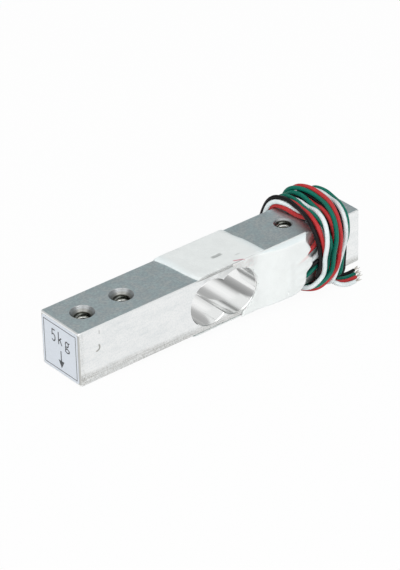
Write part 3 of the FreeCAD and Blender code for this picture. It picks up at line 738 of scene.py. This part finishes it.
# Sealant: white silicone, thin over the gauges and thick over the board and the leads' joints. A boundary's
# points are across the patch, then where it ends along the bar. Pairs are as in the bar's dictionary.
sealant = {
    "tint": colour(0.87, 0.895, 0.885), "thin": colour(0.72, 0.79, 0.80), "smear": colour(0.33, 0.345, 0.34),
    "pink": colour(0.74, 0.50, 0.49), "red": colour(0.52, 0.10, 0.16), "topShade": 0.93,
    "sunk": 0.02,                          # how far a pad's foot lies in the bar
    "coat": {
        "thickness": 0.5, "feather": 1.4, "roll": 0.35, "wiped": 4.0, "over": (0.02, -0.05),
        "waves": [(0.06, 3.2, 1.7), (0.025, 1.1, 4.1)],       # height, size and seed
        "hollow": (0.12, 1.5, 0.45),
        "left": [(-6.4, -6.6), (-4.5, -6.95), (-2.2, -7.25), (0.35, -7.4), (3.2, -7.7), (6.3, -8.4)],
        "right": [(-6.4, 11.5), (-2.9, 11.35), (0.3, 11.1), (2.85, 10.55), (6.3, 10.25)],
    },
    "side": {
        "thickness": 1.7, "thin": 0.42, "over": 0.42, "rise": (8.4, 15.5),
        "roll": 0.95, "thinRoll": (0.3, 0.45), "rollRise": (10.0, 14.0),
        "waves": [(0.09, 3.5, 2.2), (0.03, 1.2, 6.3)], "lumpRise": (9.5, 12.5),
        # a hump over each joint, and one along each lead: places up the side, then height and size
        "joints": ([1.7, -0.2, -2.0, -3.7], 0.22, 1.1), "jointsAt": 16.7,
        "runs": ([1.3, -0.9, -2.6, -4.2], 0.16, 0.6), "runsFrom": (17.5, 19.0),
        "pit": (16.0, -4.9, 0.35, 0.06),
        "left": [(-6.9, 4.6), (-5.9, 4.8), (-5.1, 5.4), (-4.2, 6.75), (-3.0, 7.85), (-1.5, 8.6), (0.0, 8.8),
                 (1.5, 8.6), (3.0, 7.85), (4.2, 6.75), (5.0, 5.3), (5.5, 3.4), (5.9, 2.6), (6.9, 2.4)],
        "right": [(-6.9, 17.0), (-6.2, 19.0), (-5.4, 20.7), (-4.1, 21.5), (-3.4, 21.7), (-2.2, 21.6), (-1.3, 22.6),
                  (-0.4, 23.6), (0.9, 23.4), (1.6, 22.4), (2.2, 22.1), (3.1, 23.1), (4.3, 22.5), (5.4, 21.8),
                  (6.2, 21.7), (6.9, 22.6)],
    },
    "worn": {"left": (-7.8, -5.4), "right": (8.6, 11.2)},                   # the coat's thin ends
    "dent": {"along": 2.1, "across": -1.6, "slope": 0.02, "wide": (0.25, 0.62), "long": (0.9, 1.6)},
    "faint": {"along": 5.8, "across": -3.95, "wide": (0.05, 0.35), "long": (0.3, 0.9)},
    "shows": {"along": 21.0, "up": 1.75, "slope": 0.3, "wide": (0.1, 0.5), "from": (18.0, 22.0)},     # the red lead
    "strip": {"up": (4.2, 5.2), "to": (6.8, 9.4)},                          # dirt over the bore
    "specks": (5.3, 5.75),                                                  # round the bore's mouth
    "jumper": {"along": 2.9, "across": -5.25, "slope": -0.45, "wide": (0.12, 0.3), "middle": 4.5, "long": (0.9, 1.3)},
    # a painted shadow line along the top coat's front edge
    "coatEdgeShadow": {"across": -6.28, "wide": (0.05, 0.22), "from": (-7.0, -4.0), "to": (4.6, 6.0), "up": (6.2, 6.4)},
}


def boundary(table, at, steps=241, rounding=21):
    b, a = np.array(table).T
    dense = np.linspace(b[0], b[-1], steps)
    window = np.hanning(rounding)
    padded = np.pad(np.interp(dense, b, a), rounding // 2, mode="reflect", reflect_type="odd")
    return np.interp(at, dense, np.convolve(padded, window / window.sum(), "valid"))


def crowded(count):                        # from 0 to 1, closer together near both
    even = np.linspace(0, 1, count)
    return 0.6 * (0.5 - 0.5 * np.cos(np.pi * even)) + 0.4 * even


def ripples(a, b, size, seed):
    flat = [noise.noise(Vector((p / size, q / size, seed))) for p, q in zip(a.ravel(), b.ravel())]
    return np.array(flat).reshape(a.shape)


def dome(distance, width):
    t = np.clip(distance / width, 0, 1)
    return np.sqrt(1 - (1 - t) ** 2)


# A closed pad over a strip: lift gives its height, and place puts it on a face
def makePatch(name, across, table, lift, place, material, replaced, rows=90, columns=90):
    b = across[0] + (across[1] - across[0]) * crowded(rows)
    start, end = boundary(table["left"], b)[:, None], boundary(table["right"], b)[:, None]
    a = start + (end - start) * crowded(columns)
    b = np.repeat(b[:, None], columns, axis=1)
    height = lift(a, b, np.minimum(a - start, end - a), np.minimum(b - across[0], across[1] - b))
    points = place(a, b, np.concatenate([height.ravel(), np.full(height.size, -sealant["sunk"])]))
    faces = []
    under = rows * columns
    for i in range(rows - 1):
        for j in range(columns - 1):
            quad = (i * columns + j, i * columns + j + 1, (i + 1) * columns + j + 1, (i + 1) * columns + j)
            faces += [quad, tuple(under + k for k in reversed(quad))]
    rim = list(range(columns)) + [(i + 1) * columns - 1 for i in range(1, rows)]
    rim += [(rows - 1) * columns + j for j in range(columns - 2, -1, -1)]
    rim += [i * columns for i in range(rows - 2, 0, -1)]
    faces += [(rim[k], under + rim[k], under + rim[k - 1], rim[k - 1]) for k in range(len(rim))]
    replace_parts(makeMesh(name, points, faces, material, "sealant"), replaced)


def sealantFinish(s):
    f = Finish("white_silicone")
    point, x, y, z = f.place()
    _, ny, nz = f.facing()
    onTop, onSide = abs(nz).between(0.5, 0.8), ny.fades(-0.8, -0.5)
    large = f.cloud(point, 0.35, detail=4.0, rough=0.6)
    small = f.cloud(point, 1.6, detail=4.0, rough=0.65)

    def mark(line, m, at):                 # a short line: how far from it, then how far from its middle
        return abs(line).fades(*m["wide"]) * abs(at).fades(*m["long"])

    worn = x.fades(*s["worn"]["left"]).atLeast(x.between(*s["worn"]["right"]))
    m = s["dent"]
    dent = mark(y - m["across"] - (x - m["along"]) * m["slope"], m, x - m["along"])
    m = s["faint"]
    faint = mark(y - m["across"], m, x - m["along"])
    m = s["jumper"]
    jumper = mark(y - m["across"] - (x - m["along"]) * m["slope"], m, x - m["middle"])
    m = s["shows"]
    shows = abs(z - m["up"] - (x - m["along"]) * m["slope"]).fades(*m["wide"]) * x.between(*m["from"])
    strip = z.between(*s["strip"]["up"]) * x.fades(*s["strip"]["to"]) * onSide
    grit = large.between(0.4, 0.6) * x.fades(*s["strip"]["to"]) * onSide
    fromMouth = ((x - bar["lobeOffset"]) ** 2.0 + z * z).root()
    specks = fromMouth.fades(*s["specks"]) * small.between(0.52, 0.6) * onSide
    m = s["coatEdgeShadow"]
    coatEdgeShadow = abs(y - m["across"]).fades(*m["wide"]) * x.between(*m["from"]) * x.fades(*m["to"]) * z.between(*m["up"])

    tone = f.blend(large.between(0.35, 0.7, 0.0, 0.55), s["tint"], shaded(s["tint"], 0.93))
    # painted shade: the side is a little darker than the other faces
    tone = f.blend(onSide, tone, shaded(s["tint"], 0.96))
    tone = f.blend(onSide * large.between(0.4, 0.7, 0.0, 0.5), tone, shaded(s["tint"], 0.9))
    # painted shade: the top coat is darker than the side
    tone = f.blend(onTop, tone, grey(s["topShade"]), how="MULTIPLY")
    tone = f.blend(worn * onTop * 0.7, tone, s["thin"])
    tone = f.blend((dent * 0.8 + faint * 0.35) * onTop, tone, s["smear"])
    tone = f.blend(shows * onSide * 0.7 + strip * small.between(0.42, 0.6) * 0.25, tone, s["pink"])
    tone = f.blend(grit * 0.22 + strip * 0.14, tone, s["smear"])
    tone = f.blend(specks * 0.7, tone, s["smear"])
    tone = f.blend(jumper * onTop * 0.75, tone, s["red"])
    # painted shadow along the coat's front edge
    tone = f.blend(coatEdgeShadow * 0.5, tone, s["smear"])
    return f.shade(Base_Color=tone, Roughness=small.between(0.3, 0.7, 0.34, 0.5),
                   Normal=f.relief(small + large * 0.6, 0.12, 0.5))


def makeSealant(s):
    material = sealantFinish(s)
    coat, side, dent = s["coat"], s["side"], s["dent"]

    def waves(a, b, rows):
        return sum(depth * ripples(a, b, size, seed) for depth, size, seed in rows)

    def coatLift(a, b, ends, edges):
        depth, length, width = coat["hollow"]
        hollow = depth * np.exp(-((a - dent["along"]) / length) ** 2 - ((b - dent["across"]) / width) ** 2)
        height = coat["thickness"] + waves(a, b, coat["waves"]) - hollow
        return height * dome(ends, coat["feather"]) * dome(edges + 0.05, coat["roll"])

    def bottomLift(a, b, ends, edges):     # wiped thinner towards the bar's edges
        return coatLift(a, b, ends, edges / coat["wiped"])

    def sideLift(a, b, ends, edges):
        risen = smoothstep(*side["rise"], a)
        endRoll, edgeRoll = side["thinRoll"]
        roll = endRoll + (side["roll"] - endRoll) * risen
        rows, height, size = side["joints"]
        joints = sum(height * np.exp(-((a - side["jointsAt"]) ** 2 + (b - z) ** 2) / size) for z in rows)
        rows, height, size = side["runs"]
        runs = sum(height * np.exp(-((b - z) / size) ** 2) for z in rows) * smoothstep(*side["runsFrom"], a)
        along, up, depth, size = side["pit"]
        pit = depth * np.exp(-((a - along) ** 2 + (b - up) ** 2) / size)
        lumps = (waves(a, b, side["waves"]) + joints + runs) * smoothstep(*side["lumpRise"], a) - pit
        body = side["thin"] + (side["thickness"] - side["thin"]) * risen + lumps
        edgeRoll = edgeRoll + (roll - edgeRoll) * smoothstep(*side["rollRise"], a)
        return body * dome(ends, roll) * dome(edges, edgeRoll)

    def onTop(a, b, h):
        return np.stack([np.tile(a.ravel(), 2), np.tile(b.ravel(), 2), halfHeight + h], 1)

    def below(a, b, h):
        return np.stack([np.tile(a.ravel(), 2), -np.tile(b.ravel(), 2), -halfHeight - h], 1)

    def onSide(a, b, h):
        return np.stack([np.tile(a.ravel(), 2), -halfWidth - h, np.tile(b.ravel(), 2)], 1)

    width = (-halfWidth - coat["over"][0], halfWidth + coat["over"][1])
    makePatch("sealant_top_coat", width, coat, coatLift, onTop, material, "sealant_top")
    makePatch("sealant_bottom_coat", width, coat, bottomLift, below, material, "sealant_bottom")
    width = (-halfHeight - side["over"], halfHeight + side["over"])
    makePatch("sealant_side_pillow", width, side, sideLift, onSide, material, "sealant_side", rows=110, columns=120)


makeSealant(sealant)
print("sealant made")


# Gauges, board and joints under the sealant
def speckled(name, tint, metal, rough):
    f = Finish(name)
    point, *_ = f.place()
    spots = f.cloud(point, 2.0, detail=4.0, rough=0.65)
    tone = f.blend(spots.between(0.35, 0.65), tint, shaded(tint, 0.82))
    return f.shade(Base_Color=tone, Metallic=metal, Roughness=spots.between(0.3, 0.7, rough, rough + 0.12),
                   Normal=f.relief(spots, 0.01, 0.4))


electrics = {                              # the start of the nodes' names, then the finish
    "gauge_film": ("polyimide_film", colour(0.62, 0.36, 0.08), 0.0, 0.3),
    "gauge_grid": ("constantan_foil", colour(0.74, 0.60, 0.46), 1.0, 0.28),
    "terminal_board": ("board_mask", colour(0.04, 0.20, 0.10), 0.0, 0.35),
    "trim_resistor": ("resistor_body", colour(0.05, 0.05, 0.06), 0.0, 0.35),
    "solder": ("solder_joint", colour(0.72, 0.72, 0.73), 1.0, 0.3),
    "link": ("enamelled_copper", colour(0.48, 0.10, 0.04), 0.0, 0.25),
    "jumper": ("red_enamel", colour(0.55, 0.03, 0.05), 0.0, 0.25),
}

for start, finish in electrics.items():
    material = speckled(*finish)
    for name in nodes:
        if name.startswith(start):
            dress(name, material)
print("electrics finished")
